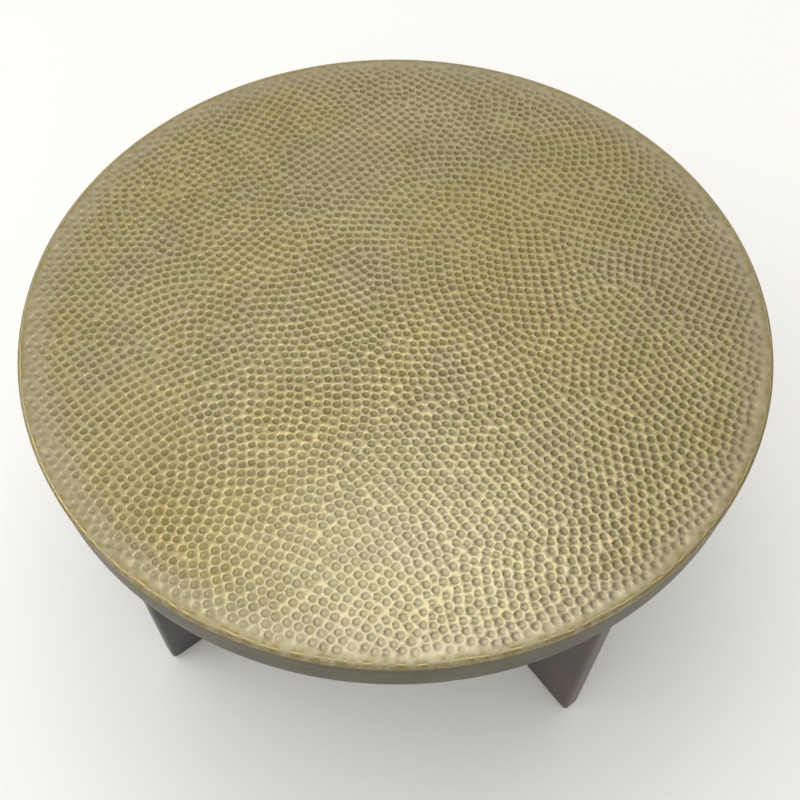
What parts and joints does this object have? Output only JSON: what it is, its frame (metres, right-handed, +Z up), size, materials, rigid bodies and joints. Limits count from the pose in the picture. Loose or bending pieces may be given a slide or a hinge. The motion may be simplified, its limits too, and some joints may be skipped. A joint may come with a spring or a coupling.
{
  "type": "brass tray table",
  "caption": "Low round coffee table: a hammered brass clad tray top that lifts off a base of two dark wooden boards crossed upright at a half-lap.",
  "frame": {"origin": "on the floor, under the centre of the tray", "axes": "+Z up out of the tray's top; the crossed boards stand along X and Y"},
  "size_m": [0.7619, 0.762, 0.432],
  "materials": {
    "hammered_brass": "hand-hammered brass sheet with an antique patina, satin",
    "band_brass": "smooth brass band, darkened and lightly brushed round",
    "pin_brass": "small domed brass pins, dull",
    "plywood": "raw birch plywood",
    "screw_steel": "zinc plated wood screws",
    "painted_panel": "thin fibreboard painted matt black",
    "block_wood": "stained hardwood, matt",
    "stained_wood": "dark stained hardwood with a satin lacquer",
    "felt": "dark brown pressed felt",
    "nylon": "black moulded nylon",
    "nail_steel": "bright steel nails"
  },
  "bodies": {
    "base": {"lower_cross_board": "stained_wood", "upper_cross_board": "stained_wood", "rest_pad_1": "felt", "rest_pad_2": "felt", "rest_pad_3": "felt", "rest_pad_4": "felt", "foot_glide_1": "nylon", "foot_glide_2": "nylon", "foot_glide_3": "nylon", "foot_glide_4": "nylon", "glide_nails": "nail_steel"},
    "tray": {"hammered_top_sheet": "hammered_brass", "rim_band": "band_brass", "band_seam_strip": "band_brass", "band_pins": "pin_brass", "upper_core_disc": "plywood", "lower_core_disc": "plywood", "core_screws": "screw_steel", "underside_panel": "painted_panel", "locating_block_1": "block_wood", "locating_block_2": "block_wood", "locating_block_3": "block_wood", "locating_block_4": "block_wood", "block_screws": "screw_steel"}
  },
  "joints": [
    {"name": "tray_lift", "type": "slide", "parent": "base", "child": "tray", "axis": [0, 0, 1], "range_m": [0, 0.06]}
  ]
}
